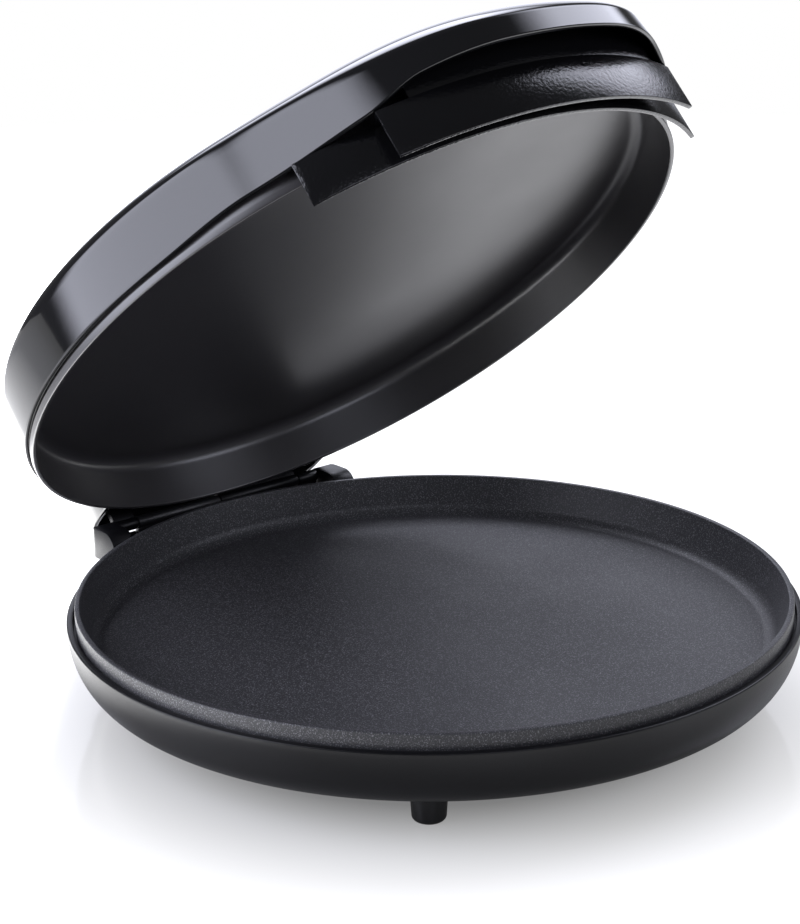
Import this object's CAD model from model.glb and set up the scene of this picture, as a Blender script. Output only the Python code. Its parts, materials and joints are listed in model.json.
# %% [markdown]
# # A countertop pizza maker, standing open
# Two round pans face each other in a clam shell of black plastic. The lid is a deep glossy
# cover with a hood over its front, which is the handle, and it swings on a pin behind the
# pans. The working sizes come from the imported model, so every piece made here is set on it.

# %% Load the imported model
import json
import math

import bpy
from mathutils import Matrix, Vector


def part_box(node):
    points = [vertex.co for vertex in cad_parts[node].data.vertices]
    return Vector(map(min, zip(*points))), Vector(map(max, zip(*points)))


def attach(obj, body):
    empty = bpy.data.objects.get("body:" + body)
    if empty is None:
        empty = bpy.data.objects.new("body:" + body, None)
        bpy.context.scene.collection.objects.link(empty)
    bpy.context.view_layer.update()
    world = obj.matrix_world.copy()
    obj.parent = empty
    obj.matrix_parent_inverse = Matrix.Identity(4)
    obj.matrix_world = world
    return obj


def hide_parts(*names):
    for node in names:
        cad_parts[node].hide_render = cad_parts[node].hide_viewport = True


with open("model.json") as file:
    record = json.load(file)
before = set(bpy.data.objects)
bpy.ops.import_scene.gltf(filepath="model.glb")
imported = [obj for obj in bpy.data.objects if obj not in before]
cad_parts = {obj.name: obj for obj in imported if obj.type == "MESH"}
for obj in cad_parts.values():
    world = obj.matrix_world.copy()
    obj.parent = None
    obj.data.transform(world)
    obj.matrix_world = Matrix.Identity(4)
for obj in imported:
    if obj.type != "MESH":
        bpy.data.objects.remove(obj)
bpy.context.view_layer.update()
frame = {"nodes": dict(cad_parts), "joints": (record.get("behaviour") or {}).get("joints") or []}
nodes = frame["nodes"]
MM = 0.001

# %% [markdown]
# ## The sizes that the pieces share
# The rims of both pans have one radius, and everything else is counted from it. The lid is
# modelled shut, where its pieces are upright and round, and then swung open about the hinge.

# %% Shared sizes, in millimetres unless they come from the frame
hinge = frame["joints"][0]
hinge_point = Vector(hinge["pos_m"])
lid_open = math.radians(-hinge["range_deg"][0])
rim_r = round(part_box("base_pan")[1].x / MM, 3)
rim_gap = 0.5
rim_z = round(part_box("base_pan")[1].z / MM, 3) + rim_gap / 2
hinge_y = hinge_point.y / MM
hinge_z = hinge_point.z / MM
print("rim radius", rim_r, "mm, rim plane", rim_z, "mm")
print("lid open", round(math.degrees(lid_open), 1), "degrees")

# %% [markdown]
# ## Camera
# The photograph was taken from the front left, a little above the table, with a long lens.
# Its place was worked out from the ellipses of the two rims. The camera is made first,
# because it decides how fine each edge has to be.

# %% Camera
view_azimuth = math.radians(-39.989)
view_elevation = math.radians(17.878)
view_roll = math.radians(-0.788)
view_distance = 1081.70
aim_right, aim_up = -14.576, 56.286
focal_pixels = 2372.5
photo_height = 924
sensor = 36.0

back = Vector((
    math.sin(view_azimuth) * math.cos(view_elevation),
    -math.cos(view_azimuth) * math.cos(view_elevation),
    math.sin(view_elevation),
))
right = Vector((math.cos(view_azimuth), math.sin(view_azimuth), 0.0))
up = back.cross(right)
camera_x = right * math.cos(view_roll) + up * math.sin(view_roll)
camera_y = up * math.cos(view_roll) - right * math.sin(view_roll)
aim = right * aim_right + up * aim_up + Vector((0, 0, rim_z))

camera = bpy.data.objects.new("camera", bpy.data.cameras.new("camera"))
bpy.context.scene.collection.objects.link(camera)
bpy.context.scene.camera = camera
camera.data.sensor_width = sensor
camera.data.lens = focal_pixels * sensor / photo_height
camera.matrix_world = Matrix.Translation((aim + back * view_distance) * MM) @ Matrix((
    camera_x, camera_y, back)).transposed().to_4x4()
print("camera at", [round(v, 3) for v in camera.location], "lens", round(camera.data.lens, 1))

# %% [markdown]
# ## Materials
# Everything outside is black, and only the finish tells the pieces apart: the cover is
# polished, the hood's underside has a fine moulded grain, the base is satin, and the pans
# carry a non-stick coating. So each finish gets its own roughness and its own tiny bumps.
# A Principled shader does it all, with noise on Object coordinates, so nothing slides.

# %% A finish with roughness that varies and a fine bump
def add_node(tree, kind, inputs=(), **settings):
    """Adds a shader node. Each input gets a value, or a link from another node's socket."""
    node = tree.nodes.new("ShaderNode" + kind)
    for setting, value in settings.items():
        setattr(node, setting, value)
    for socket, value in dict(inputs).items():
        if isinstance(value, bpy.types.NodeSocket):
            tree.links.new(value, node.inputs[socket])
        else:
            node.inputs[socket].default_value = value
    return node


def finish(name, color, roughness, spread, metallic=0.0, coat=0.0,
           grain=0.0, grain_scale=1500.0, patch_scale=18.0):
    """A Principled material whose roughness wanders by spread, with a bump of grain metres."""
    material = bpy.data.materials.new(name)
    material.use_nodes = True
    tree = material.node_tree
    shader = tree.nodes["Principled BSDF"]
    shader.inputs["Base Color"].default_value = (*color, 1)
    shader.inputs["Metallic"].default_value = metallic
    shader.inputs["Coat Weight"].default_value = coat
    where = add_node(tree, "TexCoord").outputs["Object"]
    patches = add_node(tree, "TexNoise", {"Vector": where, "Scale": patch_scale, "Detail": 6})
    wander = add_node(tree, "MapRange", {
        "Value": patches.outputs["Fac"], "From Min": 0.3, "From Max": 0.7,
        "To Min": max(0.02, roughness - spread), "To Max": roughness + spread})
    tree.links.new(wander.outputs["Result"], shader.inputs["Roughness"])
    if grain:
        grains = add_node(tree, "TexNoise", {"Vector": where, "Scale": grain_scale, "Detail": 2})
        bump = add_node(tree, "Bump", {"Height": grains.outputs["Fac"], "Distance": grain})
        tree.links.new(bump.outputs["Normal"], shader.inputs["Normal"])
    return material


def add_speckle(material, dark, light, scale, amount):
    """Breaks a coating's colour into fine light specks on a dark ground."""
    tree = material.node_tree
    where = tree.nodes["Texture Coordinate"].outputs["Object"]
    specks = add_node(tree, "TexNoise", {"Vector": where, "Scale": scale, "Detail": 3})
    ramp = add_node(tree, "ValToRGB", {"Fac": specks.outputs["Fac"]})
    for stop, place, color in zip(ramp.color_ramp.elements, (0.62, 0.74), (dark, light)):
        stop.position = place - amount
        stop.color = (*color, 1)
    tree.links.new(ramp.outputs["Color"], tree.nodes["Principled BSDF"].inputs["Base Color"])


polished_black = finish("polished_black", (0.008, 0.008, 0.009), 0.07, spread=0.03, coat=0.3,
                        grain=0.00002, grain_scale=120)
grained_black = finish("grained_black", (0.007, 0.007, 0.008), 0.17, spread=0.05,
                       grain=0.00016, grain_scale=680)
satin_black = finish("satin_black", (0.005, 0.005, 0.006), 0.32, spread=0.04,
                     grain=0.00006, grain_scale=2200)
satin_black.node_tree.nodes["Principled BSDF"].inputs["Specular IOR Level"].default_value = 0.25
textured_black = finish("textured_black", (0.012, 0.012, 0.013), 0.34, spread=0.05,
                        grain=0.00012, grain_scale=1700)
foot_black = finish("foot_black", (0.009, 0.009, 0.010), 0.40, spread=0.05,
                    grain=0.00008, grain_scale=1800)
speckled_coating = finish("speckled_coating", (0.03, 0.03, 0.03), 0.46, spread=0.05,
                          grain=0.00012, grain_scale=1600)
add_speckle(speckled_coating, (0.038, 0.038, 0.041), (0.19, 0.19, 0.20), 1700, 0.08)
smooth_coating = finish("smooth_coating", (0.038, 0.036, 0.038), 0.31, spread=0.03,
                        grain=0.000006, grain_scale=2600)
smooth_coating.node_tree.nodes["Principled BSDF"].inputs["IOR"].default_value = 1.80
heater_steel = finish("heater_steel", (0.30, 0.28, 0.26), 0.42, spread=0.10, metallic=1.0,
                      grain=0.00003, grain_scale=900, patch_scale=60)
zinc_steel = finish("zinc_steel", (0.60, 0.60, 0.58), 0.32, spread=0.08, metallic=1.0,
                    grain=0.00002, grain_scale=700, patch_scale=90)
bright_sheet = finish("bright_sheet", (0.78, 0.78, 0.77), 0.22, spread=0.06, metallic=1.0,
                      grain=0.00002, grain_scale=400, patch_scale=30)
ground_steel = finish("ground_steel", (0.52, 0.52, 0.53), 0.24, spread=0.06, metallic=1.0,
                      grain=0.00001, grain_scale=1500, patch_scale=120)
ceramic = finish("ceramic", (0.78, 0.74, 0.66), 0.62, spread=0.06, grain=0.00004,
                 grain_scale=900)
terminal_plastic = finish("terminal_plastic", (0.80, 0.78, 0.70), 0.40, spread=0.05,
                          grain=0.00003, grain_scale=1200)
sleeving = finish("sleeving", (0.36, 0.07, 0.05), 0.70, spread=0.06, grain=0.00015,
                  grain_scale=1400)
bush_rubber = finish("bush_rubber", (0.018, 0.018, 0.018), 0.62, spread=0.06, grain=0.00008,
                     grain_scale=1300)
lamp_board = finish("lamp_board", (0.05, 0.18, 0.09), 0.45, spread=0.05, grain=0.00003,
                    grain_scale=1200)
red_lens = finish("red_lens", (0.42, 0.012, 0.008), 0.12, spread=0.03, coat=0.3)
green_lens = finish("green_lens", (0.02, 0.26, 0.05), 0.12, spread=0.03, coat=0.3)
print("finishes:", len(bpy.data.materials))

# %% [markdown]
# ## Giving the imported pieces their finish
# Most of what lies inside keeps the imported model's shape, because it is right already. Those
# pieces only swap their plain colour for one of the finishes above.

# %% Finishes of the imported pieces
node_finish = {
    "base_heater": heater_steel, "lid_heater": heater_steel,
    "base_heater_clips": zinc_steel, "lid_heater_clips": zinc_steel,
    "base_reflector": bright_sheet, "lid_reflector": bright_sheet,
    "base_pan_screws": zinc_steel, "foot_screws": zinc_steel, "hood_screws": zinc_steel,
    "lid_pan_retainers": zinc_steel, "hinge_pin": ground_steel,
    "base_thermostat": ceramic, "base_thermal_fuse": ceramic, "lid_thermal_fuse": ceramic,
    "terminal_block": terminal_plastic, "base_wiring": sleeving,
    "cord_inlet_bush": bush_rubber, "lamp_holder": lamp_board,
    "power_lamp_lens": red_lens, "ready_lamp_lens": green_lens,
    "base_housing": satin_black, "base_pan": speckled_coating, "lid_pan": smooth_coating,
    "lid_shell": polished_black, "hood_insert": grained_black,
    "foot_front_left": foot_black, "foot_front_right": foot_black,
    "foot_rear_left": foot_black, "foot_rear_right": foot_black,
}
for name, material in node_finish.items():
    mesh = nodes[name].data
    mesh.materials.clear()
    mesh.materials.append(material)
print("packed pieces finished:", len(node_finish))

# %% [markdown]
# ## Tools for turned pieces
# Pans, feet and the bowl of the base are turned shapes. Each starts as one vertex, which is
# extruded along the outline and spun about the upright axis, as one would do it by hand.
# Points that fall together, such as those on the axis, are then welded into one.

# %% Outline and spin helpers
weld = 1e-6


def clear_selection():
    """Nothing stays selected, so that an operator acts on the new piece alone."""
    if bpy.context.object and bpy.context.object.mode != "OBJECT":
        bpy.ops.object.mode_set(mode="OBJECT")
    bpy.ops.object.select_all(action="DESELECT")


def pick(piece, *others):
    """Selects these pieces alone and makes the first one active."""
    clear_selection()
    for picked in (piece, *others):
        picked.select_set(True)
    bpy.context.view_layer.objects.active = piece


def arc(centre_r, centre_z, radius, start, end, steps=8):
    """Points of an arc in an outline, angles in degrees, both ends included."""
    angles = [math.radians(start + (end - start) * i / steps) for i in range(steps + 1)]
    return [(centre_r + radius * math.cos(a), centre_z + radius * math.sin(a)) for a in angles]


def trace(name, spots):
    """Extrudes one vertex along points in metres. The piece stays in edit mode."""
    clear_selection()
    bpy.ops.mesh.primitive_plane_add(size=MM)
    piece = bpy.context.object
    piece.name = name
    bpy.ops.object.mode_set(mode="EDIT")
    bpy.ops.mesh.select_all(action="SELECT")
    bpy.ops.mesh.merge(type="CENTER")
    bpy.ops.transform.translate(value=spots[0])
    for here, there in zip(spots, spots[1:]):
        bpy.ops.mesh.extrude_region_move(TRANSFORM_OT_translate={"value": there - here})
    bpy.ops.mesh.select_all(action="SELECT")
    bpy.ops.mesh.remove_doubles(threshold=weld)
    return piece


def spin_outline(name, outline, steps=256, start=0.0, sweep=360.0, closed=False):
    """Spins an outline of (radius, height) in millimetres about Z, angles in degrees."""
    turn = math.radians(start)
    piece = trace(name, [Vector((r * math.cos(turn), r * math.sin(turn), z)) * MM
                         for r, z in outline])
    if closed:
        bpy.ops.mesh.edge_face_add()
    bpy.ops.mesh.select_all(action="SELECT")
    bpy.ops.mesh.spin(steps=steps, angle=math.radians(sweep), center=(0, 0, 0), axis=(0, 0, 1))
    bpy.ops.mesh.select_all(action="SELECT")
    bpy.ops.mesh.remove_doubles(threshold=2 * weld)
    bpy.ops.mesh.normals_make_consistent(inside=False)
    bpy.ops.object.mode_set(mode="OBJECT")
    return piece


def lift(piece, height):
    """Moves a finished mesh up by millimetres and leaves its object at the origin."""
    piece.data.transform(Matrix.Translation((0, 0, height * MM)))


swing = (Matrix.Translation(hinge_point)
         @ Matrix.Rotation(-lid_open, 4, "X")
         @ Matrix.Translation(-hinge_point))


def swing_open(piece):
    """Turns a mesh that was modelled shut to where the open lid holds it."""
    piece.data.transform(Matrix.Translation((0, 0, rim_z * MM)))
    piece.data.transform(swing)


def shade(piece, angle=35.0):
    """Smooth shading that keeps the edges sharper than an angle in degrees."""
    pick(piece)
    bpy.ops.object.shade_smooth_by_angle(angle=math.radians(angle))


def dress(piece, material, body, slot, *replaced):
    """Gives a finished piece its material, its body, its slot and the nodes it stands for."""
    piece.data.materials.clear()
    piece.data.materials.append(material)
    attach(piece, body)
    if replaced:
        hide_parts(*replaced)
    print(piece.name, len(piece.data.polygons), "faces")


print("hinge", round(hinge_y, 2), "mm behind the middle,", round(hinge_z, 2), "mm up")

# %% [markdown]
# ## The two pans
# Both pans are one outline with other numbers: a floor, a round corner, a wall that leans
# out a little, and a flat rim with small rounded edges, which hangs over as a band. The upper
# one is that outline turned upside down, so its faces are turned back to point outwards.

# %% Pans
pan_t = 1.4
pan_fillet = 7.0
rim_edge = 0.7


def pan_outline(depth, taper, rim_w, band):
    """Outline of a pan's wall, rim at height 0, floor below, from the middle round and back."""
    inner = rim_r - rim_w
    low = inner - taper
    wall_low = depth - pan_fillet
    band_wall = inner - taper * band / wall_low + pan_t
    return (
        [(0, -depth)]
        + arc(low - pan_fillet, -wall_low, pan_fillet, -90, 0, 10)
        + arc(inner + rim_edge, -rim_edge, rim_edge, 180, 90, 5)
        + arc(rim_r - rim_edge, -rim_edge, rim_edge, 90, 0, 5)
        + [(rim_r, -band), (band_wall, -band)]
        + arc(low - pan_fillet, -wall_low, pan_fillet + pan_t, 0, -90, 10)
        + [(0, -depth - pan_t)]
    )


lower_pan = spin_outline("lower_pan", pan_outline(depth=19.0, taper=4.0, rim_w=2.6, band=8.75))
lift(lower_pan, rim_z - rim_gap / 2)
shade(lower_pan)
dress(lower_pan, speckled_coating, "base", "pan_coating", "base_pan")

upper_pan = spin_outline("upper_pan", pan_outline(depth=24.5, taper=1.6, rim_w=2.2, band=3.2))
upper_pan.data.transform(Matrix.Scale(-1, 4, (0, 0, 1)))
upper_pan.data.flip_normals()
lift(upper_pan, rim_gap / 2)
swing_open(upper_pan)
shade(upper_pan)
dress(upper_pan, smooth_coating, "lid", "lid_pan_coating", "lid_pan")

# %% [markdown]
# ## The plan and section of the cover
# The glossy cover of the lid is the piece that one sees first, so it is worth the most care.
# It is round at the sides, drawn out into the hood at the front, and squared off into the
# rear cover over the hinge. Its section changes with the plan: a drafted wall, a shoulder and
# a low dome, with a brow over the hood. A subdivided box would need guesses for all that, so
# one function gives the cover's radius and height at every angle and level.

# %% Plan and section of the cover
shell_r = rim_r + 1.4
hood_reach, hood_flat, hood_fade = 30.0, 9.0, 46.0
edge_height, edge_rise, edge_fade = 5.15, 2.3, 16.0
lip_rise, lip_turn, lip_fade = 4.6, 28.0, 8.0
side_height, side_draft, hood_wall, hood_upright = 31.5, 2.0, 23.0, 0.4
top_height, dome_rise, top_r = 51.2, 5.0, 112.0
shoulder_in, shoulder_in_hood, shoulder_in_cover = 1.5, 7.0, 5.0
shoulder_up, shoulder_down_hood = 0.57, 0.04
brow_rise, brow_turn, brow_fade, brow_start = 1.4, 36.0, 22.0, 0.35
brow_inner_r, brow_width = 60.0, 75.0
cover_half, cover_y, cover_wall = 70.0, hinge_y + 15.83, 25.0
cover_corner, cover_end = 22.0, 60.0
shell_t = 2.2


def smooth_step(t):
    """Rises from 0 to 1 with level ends."""
    t = max(0.0, min(1.0, t))
    return t * t * (3 - 2 * t)


def hood_bell(a):
    """1 across the front of the hood, 0 where it meets the side wall. Angle a from the front."""
    t = max(0.0, min(1.0, (a - hood_flat) / (hood_fade - hood_flat)))
    return 0.5 + 0.5 * math.cos(math.pi * t)


def brow_share(r):
    """How much of the brow's rise a radius has, from none in the middle to all of it."""
    return smooth_step((r - brow_inner_r) / brow_width)


def cover_reach(b):
    """Radius of the rear cover's squared plan at angle b from the rear."""
    if b > cover_end:
        return 0.0
    across = abs(math.sin(math.radians(b))) / cover_half
    along = math.cos(math.radians(b)) / cover_y
    return (across ** cover_corner + along ** cover_corner) ** (-1 / cover_corner)


def shell_point(a, t):
    """Point of the cover at angle a, from 0 at its lower edge over 1 at the wall's top,
    2 at the rim of the flat top, to 3 in the middle: (radius, height)."""
    bell = hood_bell(a)
    plan = cover_reach(180 - a)
    rear = max(0.0, min(1.0, (plan - shell_r) / (cover_y - shell_r)))
    foot_r = max(shell_r + hood_reach * bell, plan)
    foot_z = (edge_height + edge_rise * (1 - smooth_step((a - hood_fade) / edge_fade))
              + lip_rise * smooth_step((lip_turn - a) / lip_fade))
    wall_r = foot_r - side_draft * (1 - hood_upright * bell)
    wall_z = side_height + (hood_wall - side_height) * bell + (cover_wall - side_height) * rear
    brow = brow_rise * smooth_step((brow_turn - a) / brow_fade)
    if t <= 1:
        return foot_r + (wall_r - foot_r) * t, foot_z + (wall_z - foot_z) * t
    if t <= 2:
        s = t - 1
        bend_r = wall_r - shoulder_in - shoulder_in_hood * bell - shoulder_in_cover * rear
        bend_z = wall_z + (top_height - wall_z) * (shoulder_up - shoulder_down_hood * bell)
        r = (1 - s) ** 2 * wall_r + 2 * s * (1 - s) * bend_r + s * s * top_r
        z = (1 - s) ** 2 * wall_z + 2 * s * (1 - s) * bend_z + s * s * top_height
        return r, z + brow * brow_share(r) * smooth_step(s / brow_start)
    s = t - 2
    r = top_r * (1 - s)
    return r, top_height + dome_rise * (1 - (1 - s) ** 2) + brow * brow_share(r)


print("hood reaches", round(shell_point(0, 0)[0], 1), "mm, rear cover",
      round(shell_point(180, 0)[0], 1), "mm from the middle")

# %% [markdown]
# ## The cover itself
# It starts as a circle, its lower edge. The circle is extruded upwards ring by ring, and each
# ring is then pushed out to the plan and section that it has there. A solidify modifier gives
# the wall its thickness and a bevel rounds the lip.

# %% Cover of the lid
def soften(piece, width, angle=40.0):
    """Rounds the edges that are sharper than an angle in degrees, width in millimetres."""
    pick(piece)
    bpy.ops.object.modifier_add(type="BEVEL")
    bevel = piece.modifiers["Bevel"]
    bevel.width = width * MM
    bevel.segments = 2
    bevel.limit_method = "ANGLE"
    bevel.angle_limit = math.radians(angle)
    bpy.ops.object.modifier_apply(modifier="Bevel")


levels = ([0, 0.05, 0.3, 0.6, 0.9, 1.0]
          + [1 + i / 16 for i in range(1, 17)]
          + [2 + i / 8 for i in range(1, 8)])
shell_sides = 360

clear_selection()
bpy.ops.mesh.primitive_circle_add(vertices=shell_sides, radius=shell_r * MM)
lid_cover = bpy.context.object
lid_cover.name = "lid_cover"
bpy.ops.object.mode_set(mode="EDIT")
bpy.ops.mesh.select_all(action="SELECT")
for _ in levels:
    bpy.ops.mesh.extrude_region_move(TRANSFORM_OT_translate={"value": (0, 0, MM)})
bpy.ops.mesh.merge(type="CENTER")
bpy.ops.object.mode_set(mode="OBJECT")

for vertex in lid_cover.data.vertices:
    ring = round(vertex.co.z / MM)
    if ring == len(levels):
        vertex.co = Vector((0, 0, (top_height + dome_rise) * MM))
        continue
    turn = math.atan2(vertex.co.x, -vertex.co.y)
    radius, height = shell_point(abs(math.degrees(turn)), levels[ring])
    vertex.co = Vector((radius * math.sin(turn), -radius * math.cos(turn), height)) * MM

pick(lid_cover)
bpy.ops.object.mode_set(mode="EDIT")
bpy.ops.mesh.select_all(action="SELECT")
bpy.ops.mesh.normals_make_consistent(inside=False)
bpy.ops.object.mode_set(mode="OBJECT")
bpy.ops.object.modifier_add(type="SOLIDIFY")
lid_cover.modifiers["Solidify"].thickness = shell_t * MM
lid_cover.modifiers["Solidify"].offset = -1
bpy.ops.object.modifier_apply(modifier="Solidify")
soften(lid_cover, 0.5, 60)
swing_open(lid_cover)
shade(lid_cover, 40)
dress(lid_cover, polished_black, "lid", "shell_plastic", "lid_shell")

# %% [markdown]
# ## The underside of the hood
# One black moulding closes the hood from below. Two curved walls stand on it, one behind the
# other: the outer one keeps the fingers away from the hot pan, and the inner one covers the
# joint of the rims. A third wall stands inside the hood and hides the screws. All three are
# sectors of a turned shape, so the outline is spun part way.

# %% Hood insert
insert_t = 2.0
insert_low, insert_in = edge_height, rim_r - 0.6
insert_top = insert_low + insert_t
skirt_in = shell_r + 4.0
skirt_out, skirt_low, skirt_turn = skirt_in + insert_t, -12.4, 39.0
guard_out, guard_low, guard_turn = shell_r + hood_reach - 13.5, -14.3, 26.8
guard_in = guard_out - insert_t
pocket_out, pocket_low, pocket_top, pocket_turn = guard_out - 0.6, insert_low + 0.4, 25.0, 22.0
pocket_in = pocket_out - 1.4


def curved_wall(name, outline, half_angle):
    """A sector of a turned shape, centred on the front, with softened edges."""
    wall = spin_outline(name, outline + outline[:1], steps=round(half_angle * 2),
                        start=-90 + half_angle, sweep=2 * half_angle, closed=True)
    soften(wall, 0.35, 50)
    return wall


rim_cover = curved_wall("rim_cover", [
    (insert_in, insert_low), (skirt_in, insert_low), (skirt_in, skirt_low),
    (skirt_out, skirt_low), (skirt_out, insert_top), (insert_in, insert_top)], skirt_turn)
finger_guard = curved_wall("finger_guard", [
    (skirt_out, insert_low), (guard_in, insert_low), (guard_in, guard_low),
    (guard_out, guard_low), (guard_out, insert_top), (skirt_out, insert_top)], guard_turn)
pocket_wall = curved_wall("pocket_wall", [
    (pocket_in, pocket_low), (pocket_out, pocket_low),
    (pocket_out, pocket_top), (pocket_in, pocket_top)], pocket_turn)
for wall in (rim_cover, finger_guard, pocket_wall):
    swing_open(wall)
    shade(wall, 30)
    dress(wall, grained_black, "lid", "insert_plastic", "hood_insert")

# %% [markdown]
# ## The bowl of the base
# The bowl is a turned shape too: a flat bottom, a wall that curves up and out, a narrow ledge
# and a seat for the pan.

# %% Bowl
ledge_z, ledge_in = rim_z - 7.0, rim_r + 1.0
ledge_edge, ledge_lip = 0.8, 0.4
bowl_h, bowl_r, bowl_curve, bowl_t = 28.0, rim_r + 4.0, 18.4, 2.6
bowl_low = ledge_z - bowl_h
seat_z, seat_in = ledge_z - 2.0, rim_r - 1.8


def bowl_wall(radius, top, height, curve, steps, downwards):
    """Points of the curved wall between its upright top and its level bottom."""
    turns = [math.pi / 2 * i / steps for i in range(steps + 1)]
    wall = [(radius - curve * (1 - math.cos(t)), top - height * math.sin(t)) for t in turns]
    return wall if downwards else wall[::-1]


bowl_outline = (
    [(0, bowl_low)]
    + bowl_wall(bowl_r, ledge_z - ledge_edge, bowl_h - ledge_edge, bowl_curve, 22, False)
    + arc(bowl_r - ledge_edge, ledge_z - ledge_edge, ledge_edge, 0, 90, 4)[1:]
    + arc(ledge_in + ledge_lip, ledge_z - ledge_lip, ledge_lip, 90, 180, 3)
    + [(ledge_in, seat_z - 1), (rim_r, seat_z - 1), (rim_r, seat_z), (seat_in, seat_z),
       (seat_in, seat_z - 2)]
    + bowl_wall(bowl_r - bowl_t, seat_z - 3, seat_z - 3 - bowl_low - bowl_t,
                bowl_curve - bowl_t, 14, True)
    + [(0, bowl_low + bowl_t)]
)
base_bowl = spin_outline("base_bowl", bowl_outline)
print("bowl from", round(bowl_low, 2), "to", round(ledge_z, 2), "mm above the table")

# %% [markdown]
# ## Openings of the bowl
# Slots for cooling air, the holes of three screws and the inlet of the cord aren't round
# about the bowl's axis. They are made as solids, joined into one, and cut out together with a
# boolean, because one clean cut is safer than many. The inlet gets a boss and a rubber bush.

# %% Cooling slots, screw holes and the cord inlet
def box_piece(name, low_corner, high_corner):
    """A box between two corners in millimetres, its object at the origin."""
    clear_selection()
    bpy.ops.mesh.primitive_cube_add(size=1)
    piece = bpy.context.object
    piece.name = name
    size = [(h - l) * MM for l, h in zip(low_corner, high_corner)]
    middle = [(h + l) / 2 * MM for l, h in zip(low_corner, high_corner)]
    piece.data.transform(Matrix.Translation(middle) @ Matrix.Diagonal((*size, 1)))
    return piece


def join(*pieces):
    """Joins pieces into the first one."""
    pick(*pieces)
    bpy.ops.object.join()
    return pieces[0]


def combine(piece, tool, operation):
    """Applies a boolean with a tool, which is then deleted."""
    pick(piece)
    bpy.ops.object.modifier_add(type="BOOLEAN")
    boolean = piece.modifiers["Boolean"]
    boolean.operation = operation
    boolean.solver = "EXACT"
    boolean.object = tool
    bpy.ops.object.modifier_apply(modifier="Boolean")
    bpy.data.objects.remove(tool)


slot_rings, slot_turn, slot_w, slot_half = (84, 92), 30, 2.4, 11
fixing_r, fixing_turns = 60.0, (30, 150, 270)
screw_r, head_r, head_deep = 1.7, 3.2, 2.2
inlet_turn, inlet_r = math.radians(38.0), 5.6
inlet_z = bowl_low + bowl_h * 0.55
below, above = bowl_low - 1, bowl_low + 6

cutters = []
for turn in range(0, 360, slot_turn):
    for radius in slot_rings:
        cutter = box_piece("slot", (radius, -slot_half, below),
                           (radius + slot_w, slot_half, bowl_low + 5))
        cutter.data.transform(Matrix.Rotation(math.radians(turn), 4, "Z"))
        cutters.append(cutter)
for turn in fixing_turns:
    cutter = spin_outline("hole", [
        (0, below), (head_r, below), (head_r, bowl_low + head_deep),
        (screw_r, bowl_low + head_deep), (screw_r, above), (0, above)], steps=32)
    cutter.data.transform(Matrix.Rotation(math.radians(turn), 4, "Z")
                          @ Matrix.Translation((fixing_r * MM, 0, 0)))
    cutters.append(cutter)
at_inlet = (Matrix.Translation(Vector((bowl_r * math.sin(inlet_turn),
                                       bowl_r * math.cos(inlet_turn), inlet_z)) * MM)
            @ Matrix.Rotation(math.pi / 2 - inlet_turn, 4, "Z")
            @ Matrix.Rotation(math.pi / 2, 4, "Y"))
cutter = spin_outline("inlet_hole", [(0, -14), (inlet_r, -14), (inlet_r, 10), (0, 10)], steps=48)
cutter.data.transform(at_inlet)
cutters.append(cutter)
combine(base_bowl, join(*cutters), "DIFFERENCE")
shade(base_bowl, 32)
dress(base_bowl, satin_black, "base", "housing_plastic", "base_housing")

inlet_boss = spin_outline("inlet_boss", [
    (inlet_r, -4), (8.9, -4), (8.9, 1.0), (8.4, 1.5), (6.1, 1.5), (inlet_r, 1.0),
    (inlet_r, -4)], steps=64)
inlet_boss.data.transform(at_inlet)
shade(inlet_boss, 32)
dress(inlet_boss, satin_black, "base", "housing_plastic", "base_housing")

cord_bush = spin_outline("cord_bush", [
    (3.7, -7), (5.4, -7), (5.4, 1.5), (6.9, 1.5)] + arc(6.6, 2.9, 0.8, 0, 90, 4)
    + arc(4.3, 3.1, 0.6, 90, 180, 3) + [(3.7, -7)], steps=64)
cord_bush.data.transform(at_inlet)
shade(cord_bush, 32)
dress(cord_bush, bush_rubber, "base", "bush_rubber", "cord_inlet_bush")

# %% [markdown]
# ## The hinge on the base
# A low block stands behind the bowl and an ear rises at each of its ends. Both come from one
# side view, which is extruded across the whole width. The space between the ears is cut out,
# and so is the round of the bowl. The rear corners are rounded in plan with an intersection.

# %% Hinge block with its ears
barrel_r = 3.0
barrel_ends = (0.3, 49.7, 50.3, 62.5)
ear_in, ear_out = 63.1, 75.1
block_back, block_depth, block_drop = 4.4, 19.4, 12.0
block_round, block_corner = 4.5, 6.0
ear_rise, ear_round, ear_front = 3.2, 4.2, 8.0


def extrude_outline(name, points, way):
    """Makes a face from points in metres and extrudes it along a vector into a solid."""
    piece = trace(name, points + points[:1])
    bpy.ops.mesh.edge_face_add()
    bpy.ops.mesh.select_all(action="SELECT")
    bpy.ops.mesh.extrude_region_move(TRANSFORM_OT_translate={"value": way})
    bpy.ops.mesh.select_all(action="SELECT")
    bpy.ops.mesh.normals_make_consistent(inside=False)
    bpy.ops.object.mode_set(mode="OBJECT")
    return piece


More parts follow.
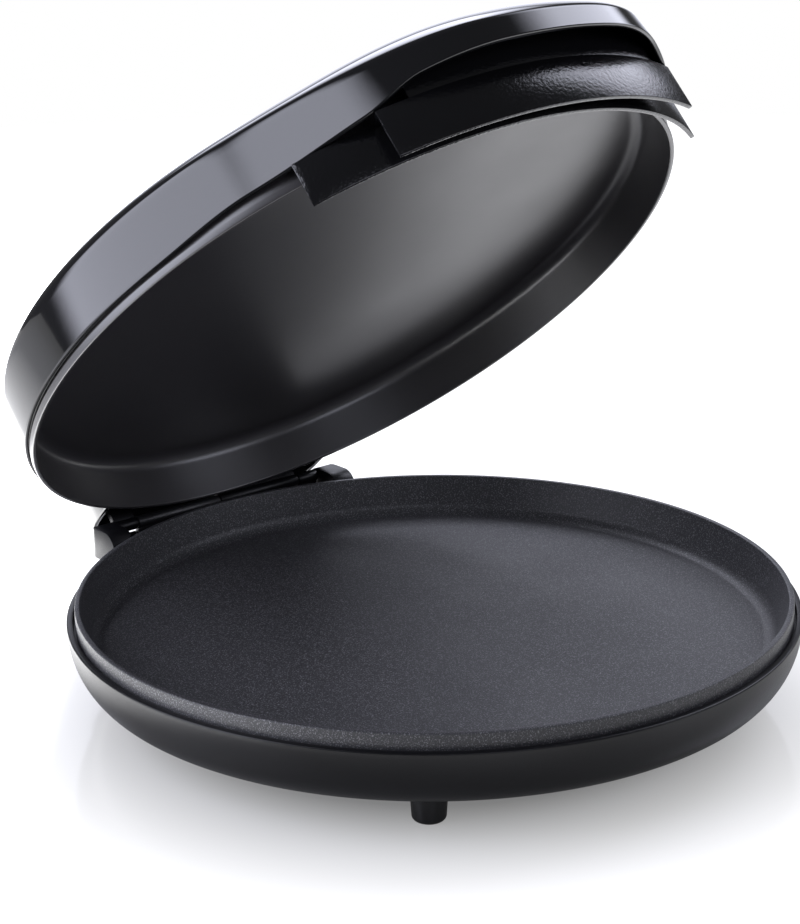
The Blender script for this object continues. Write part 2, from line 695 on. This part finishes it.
side_view = (
    [(-block_depth, -block_drop)]
    + arc(block_back - block_round, block_round - block_drop, block_round, -90, 0, 6)
    + arc(block_back - ear_round, ear_rise - ear_round, ear_round, 0, 90, 6)
    + arc(-block_depth / 2, ear_rise - ear_front, ear_front, 90, 180, 8)
    + [(-block_depth, ledge_z - hinge_z)]
)
hinge_block = extrude_outline(
    "hinge_block",
    [Vector((-ear_out, hinge_y + y, hinge_z + z)) * MM for y, z in side_view],
    Vector((2 * ear_out * MM, 0, 0)))
combine(hinge_block, box_piece("gap", (-ear_in, hinge_y - 30, ledge_z),
                               (ear_in, hinge_y + 30, ledge_z + 30)), "DIFFERENCE")
round_r, round_top = ledge_in + ledge_lip, rim_z + 20
combine(hinge_block, spin_outline("round", [
    (0, bowl_low), (round_r, bowl_low), (round_r, round_top), (0, round_top)]), "DIFFERENCE")
corner_x, corner_y = ear_out - block_corner, hinge_y + block_back - block_corner
plan = ([(-ear_out, hinge_y - 40), (ear_out, hinge_y - 40)]
        + arc(corner_x, corner_y, block_corner, 0, 90, 8)
        + arc(-corner_x, corner_y, block_corner, 90, 180, 8))
combine(hinge_block, extrude_outline(
    "plan", [Vector((x, y, bowl_low)) * MM for x, y in plan], Vector((0, 0, 60 * MM))),
    "INTERSECT")
soften(hinge_block, 0.45, 35)
shade(hinge_block, 32)
dress(hinge_block, satin_black, "base", "housing_plastic", "base_housing")

# %% [markdown]
# ## The knuckles
# Four barrels lie on one pin, two on the base and two on the lid, in turn. Each is a tube
# with softened ends on a thin web. Those of the lid also have ribs, which tie the web to the
# rear cover and end inside its wall. They are modelled lying along X, where they work.

# %% Knuckles on the base and on the lid
pin_clearance_r, barrel_edge, barrel_chamfer = 1.58, 0.35, 0.1
web_half, web_bite = 1.5, 2.2


def knuckle(name, start, end, web_low, web_high):
    """A barrel between two places on the hinge line with a web between two heights."""
    length = end - start
    tube = spin_outline(name, [
        (pin_clearance_r, 0), (barrel_r - barrel_edge, 0),
        (barrel_r - barrel_chamfer, barrel_chamfer), (barrel_r, barrel_edge),
        (barrel_r, length - barrel_edge), (barrel_r - barrel_chamfer, length - barrel_chamfer),
        (barrel_r - barrel_edge, length), (pin_clearance_r, length), (pin_clearance_r, 0)],
        steps=48)
    tube.data.transform(Matrix.Translation((start * MM, hinge_y * MM, 0))
                        @ Matrix.Rotation(math.pi / 2, 4, "Y"))
    web = box_piece("web", (start, hinge_y - web_half, web_low),
                    (end, hinge_y + web_half, web_high))
    soften(web, 0.3)
    return join(tube, web)


for name, start, end, material in (
        ("knuckle_base_left", -barrel_ends[1], -barrel_ends[0], textured_black),
        ("knuckle_base_right", barrel_ends[2], barrel_ends[3], satin_black)):
    piece = knuckle(name, start, end, ledge_z - 1 - hinge_z, -web_bite)
    lift(piece, hinge_z)
    shade(piece, 32)
    dress(piece, material, "base", "housing_plastic", "base_housing")

cover_web_top = 27.0
rib_low, rib_high, rib_t, rib_reach = 9.15, 25.0, 2.0, 12.9
axis_height = hinge_z - rim_z
for name, start, end, ribs in (("knuckle_lid_left", -barrel_ends[3], -barrel_ends[2], 1),
                               ("knuckle_lid_right", barrel_ends[0], barrel_ends[1], 2)):
    piece = knuckle(name, start, end, web_bite, cover_web_top - axis_height)
    lift(piece, axis_height)
    for i in range(ribs + 1):
        rib_x = start + (end - start - rib_t) * i / ribs
        rib = box_piece("rib", (rib_x, hinge_y, rib_low),
                        (rib_x + rib_t, hinge_y + rib_reach, rib_high))
        soften(rib, 0.3)
        piece = join(piece, rib)
    swing_open(piece)
    shade(piece, 32)
    dress(piece, satin_black, "lid", "shell_plastic", "lid_shell")

# %% [markdown]
# ## Feet
# A foot is a short tapered plug with a rounded lower edge and a deep hole for its screw. One
# is turned, and the other three are copies with meshes of their own.

# %% Feet
foot_circle, foot_turn = 132.0, math.radians(42.0)
foot_h, foot_top_r, foot_low_r, foot_edge = bowl_low, 8.25, 7.3, 2.2
well_r, well_h = 3.2, 7.0
foot_outline = (
    [(well_r, 0)] + arc(foot_low_r - foot_edge, foot_edge, foot_edge, -90, 0, 8)
    + [(foot_top_r, foot_h), (screw_r, foot_h), (screw_r, well_h), (well_r, well_h),
       (well_r, 0)]
)
first_foot = spin_outline("foot_first", foot_outline, steps=96)
shade(first_foot, 32)
for name, side, end in (("foot_front_left", -1, -1), ("foot_front_right", 1, -1),
                        ("foot_rear_left", -1, 1), ("foot_rear_right", 1, 1)):
    piece = first_foot.copy()
    piece.data = first_foot.data.copy()
    piece.name = name.replace("foot", "standing_foot")
    bpy.context.scene.collection.objects.link(piece)
    piece.data.transform(Matrix.Translation(Vector((
        side * foot_circle * math.sin(foot_turn), end * foot_circle * math.cos(foot_turn), 0))
        * MM))
    dress(piece, foot_black, "base", "foot_plastic", name)
bpy.data.objects.remove(first_foot)

# %% [markdown]
# ## Pilot lamps
# Two small lenses stand a little out of the cover on the side that faces back here. Each
# reaches down to just above its lamp, so its lower end is counted up from the upper pan over
# the studs, the reflector plate, the lamp holder and a gap.

# %% Lamp lenses
lamp_r, lamp_x, lamp_y = 4.0, 11.0, 84.0
pan_top, stud_h, plate_t, holder_h, lamp_gap = 26.15, 7.8, 0.6, 4.0, 3.0
lens_low, lens_stand = pan_top + stud_h + plate_t + holder_h + lamp_gap, 1.0
middle_height = top_height + dome_rise * (1 - (lamp_y / top_r) ** 2)
lens_top = middle_height + lens_stand + brow_rise * brow_share(lamp_y)
lens_curve = 2 * lamp_r
lens_arc = [math.radians(90 - 30 * i / 8) for i in range(9)]
lens_outline = ([(0, lens_top)]
                + [(lens_curve * math.cos(t), lens_top - lens_curve * (1 - math.sin(t)))
                   for t in lens_arc[1:]]
                + [(lamp_r, lens_low), (0, lens_low)])
for name, side, material, slot, node in (
        ("power_lens", -1, red_lens, "red_lens", "power_lamp_lens"),
        ("ready_lens", 1, green_lens, "green_lens", "ready_lamp_lens")):
    lens = spin_outline(name, lens_outline, steps=48)
    lens.data.transform(Matrix.Translation((side * lamp_x * MM, -lamp_y * MM, 0)))
    swing_open(lens)
    shade(lens, 25)
    dress(lens, material, "lid", slot, node)

# %% [markdown]
# ## Floor
# The photograph has a white sweep of paper, with the object's shadow on it. The floor is
# stage, not object. It glows by itself, white a little way out and grey under the object,
# because more light would burn out the object instead. Polished black shows little but what
# it mirrors, so reflections get levels of their own, and a bright pool at the left, which the
# left flank of the lid mirrors. Light Path tells the rays apart, so that the glow is seen and
# mirrored but falls on nothing. The paper is clear from below, to show the underside.

# %% Floor
floor_r = 1.6
to_the_eye = ((0.05, 0.05), (0.12, 0.20), (0.20, 0.84), (0.32, 0.95), (0.60, 1.0), (0.90, 1.0))
in_reflections = ((0.05, 0.03), (0.16, 0.11), (0.23, 0.70), (0.30, 1.45), (0.48, 1.30),
                  (0.80, 0.45))
pool_sides = ((0.165, 0.24, 4.5), (0.38, 0.28, 1.0))

clear_selection()
bpy.ops.mesh.primitive_circle_add(vertices=128, radius=floor_r, fill_type="NGON")
floor = bpy.context.object
floor.name = "floor"

paper = bpy.data.materials.new("paper")
paper.use_nodes = True
tree = paper.node_tree
paper_shader = tree.nodes["Principled BSDF"]
paper_shader.inputs["Base Color"].default_value = (0.30, 0.30, 0.305, 1)
paper_shader.inputs["Roughness"].default_value = 0.10
path = add_node(tree, "LightPath").outputs
where = add_node(tree, "TexCoord").outputs["Object"]
distance = add_node(tree, "VectorMath", {0: where}, operation="LENGTH").outputs["Value"]
leftwards = add_node(tree, "VectorMath", {0: where, 1: -right},
                     operation="DOT_PRODUCT").outputs["Value"]


def level_ramp(stops):
    """A level that goes straight from each stop of (distance in metres, level) to the next."""
    level = stops[0][1]
    for (near, low), (far, high) in zip(stops, stops[1:]):
        part = add_node(tree, "MapRange", {
            "Value": distance, "From Min": near, "From Max": far, "To Max": high - low})
        level = add_node(tree, "Math", {0: level, 1: part.outputs["Result"]}).outputs["Value"]
    return level


paper_level = add_node(tree, "Mix", {
    "Factor": path["Is Glossy Ray"],
    "A": level_ramp(to_the_eye), "B": level_ramp(in_reflections)})
sides = [add_node(tree, "MapRange", {
    "Value": leftwards, "From Min": start, "From Max": end, "To Max": level},
    interpolation_type="SMOOTHSTEP") for start, end, level in pool_sides]
strength = add_node(tree, "Math", {
    0: sides[0].outputs["Result"], 1: sides[1].outputs["Result"],
    2: paper_level.outputs["Result"]}, operation="MULTIPLY_ADD")
looked_at = path["Is Camera Ray"]
for ray in ("Is Glossy Ray", "Is Transmission Ray"):
    looked_at = add_node(tree, "Math", {0: looked_at, 1: path[ray]},
                         operation="MAXIMUM").outputs["Value"]
glow = add_node(tree, "Emission", {"Strength": strength.outputs["Value"]})
no_glow = add_node(tree, "Emission", {"Strength": 0.0})
glow_seen = add_node(tree, "MixShader", {
    "Fac": looked_at, 1: no_glow.outputs["Emission"], 2: glow.outputs["Emission"]})
upper_side = add_node(tree, "AddShader", {
    0: paper_shader.outputs["BSDF"], 1: glow_seen.outputs["Shader"]})
one_sided = add_node(tree, "MixShader", {
    "Fac": add_node(tree, "NewGeometry").outputs["Backfacing"],
    1: upper_side.outputs["Shader"], 2: add_node(tree, "BsdfTransparent").outputs["BSDF"]})
tree.links.new(one_sided.outputs["Shader"], tree.nodes["Material Output"].inputs["Surface"])
floor.data.materials.append(paper)
print("floor of radius", floor_r, "m,", len(tree.nodes), "nodes in its paper")

# %% [markdown]
# ## World
# The background is white to the camera and through glass. As a light it is dim, because the
# lamps do the lighting, and a little of its white shows in reflections, so that no edge of
# the black plastic goes fully dark.

# %% World
white_in_reflections = 0.04
world = bpy.data.worlds.new("studio")
bpy.context.scene.world = world
world.use_nodes = True
tree = world.node_tree
path = add_node(tree, "LightPath").outputs
seen = add_node(tree, "Math", {0: path["Is Camera Ray"], 1: path["Is Transmission Ray"]},
                operation="MAXIMUM")
whiteness = add_node(tree, "Math", {
    0: path["Is Glossy Ray"], 1: white_in_reflections, 2: seen.outputs["Value"]},
    operation="MULTIPLY_ADD", use_clamp=True)
dim = tree.nodes["Background"]
dim.inputs["Color"].default_value = (0.85, 0.87, 0.90, 1)
dim.inputs["Strength"].default_value = 0.05
white = add_node(tree, "Background", {"Color": (1, 1, 1, 1), "Strength": 1.0})
sky = add_node(tree, "MixShader", {
    "Fac": whiteness.outputs["Value"], 1: dim.outputs["Background"],
    2: white.outputs["Background"]})
tree.links.new(sky.outputs["Shader"], tree.nodes["World Output"].inputs["Surface"])
print("world:", len(tree.nodes), "nodes")

# %% [markdown]
# ## Lamps
# Large softboxes stand round the object, and their reflections draw its shape on the black
# plastic. Two light the front, one stands high at the right, two stand behind the object, and
# the largest stands at the left, where the flank of the lid mirrors it. All are faintly blue,
# as the highlights in the photograph are. A plain area lamp would have hard edges in those
# reflections, so its strength fades towards its sides.

# %% Lamps
lamp_color = (0.84, 0.86, 1.0)


def soft_lamp(name, place, target, size, power, edge=0.3):
    """A large lamp that looks at a point, in metres and watts, unseen by the camera itself.
    Its light fades towards its sides over a share of its width, as a real softbox does."""
    data = bpy.data.lights.new(name, "AREA")
    data.shape = "RECTANGLE"
    data.size, data.size_y = size
    data.energy = power
    data.color = lamp_color
    data.use_nodes = True
    tree = data.node_tree
    spot = add_node(tree, "NewGeometry").outputs["Parametric"]
    split = add_node(tree, "SeparateXYZ", {"Vector": spot}).outputs
    fade = add_node(tree, "Math", operation="MULTIPLY")
    for i, axis in enumerate("XY"):
        inset = add_node(tree, "Math", {0: split[axis], 1: 0.5}, operation="PINGPONG")
        rise = add_node(tree, "MapRange", {"Value": inset.outputs["Value"], "From Max": edge},
                        interpolation_type="SMOOTHSTEP")
        tree.links.new(rise.outputs["Result"], fade.inputs[i])
    tree.links.new(fade.outputs["Value"], tree.nodes["Emission"].inputs["Strength"])
    lamp = bpy.data.objects.new(name, data)
    bpy.context.scene.collection.objects.link(lamp)
    lamp.location = place
    direction = Vector(target) - Vector(place)
    lamp.rotation_euler = direction.to_track_quat("-Z", "Y").to_euler()
    lamp.visible_camera = False


soft_lamp("lamp_left", (-0.96, 0.38, 0.64), (-0.165, 0.05, 0.35), (1.22, 1.45), 27, 0.2)
soft_lamp("lamp_rear_high", (0.48, 1.04, 1.10), (0, 0, 0.25), (1.4, 0.9), 22)
soft_lamp("lamp_backdrop", (0.85, 1.20, 0.42), (0, 0, 0.30), (1.7, 0.9), 6.5)
soft_lamp("lamp_right", (1.15, 0.0, 1.10), (0, 0, 0.28), (1.1, 1.3), 23)
soft_lamp("lamp_front_right", (0.9, -1.2, 0.75), (0, 0, 0.1), (1.0, 0.8), 8)
soft_lamp("lamp_front_left", (-0.6, -1.6, 1.0), (0, 0, 0.1), (1.2, 1.0), 9)
bpy.context.scene.view_settings.view_transform = "Standard"
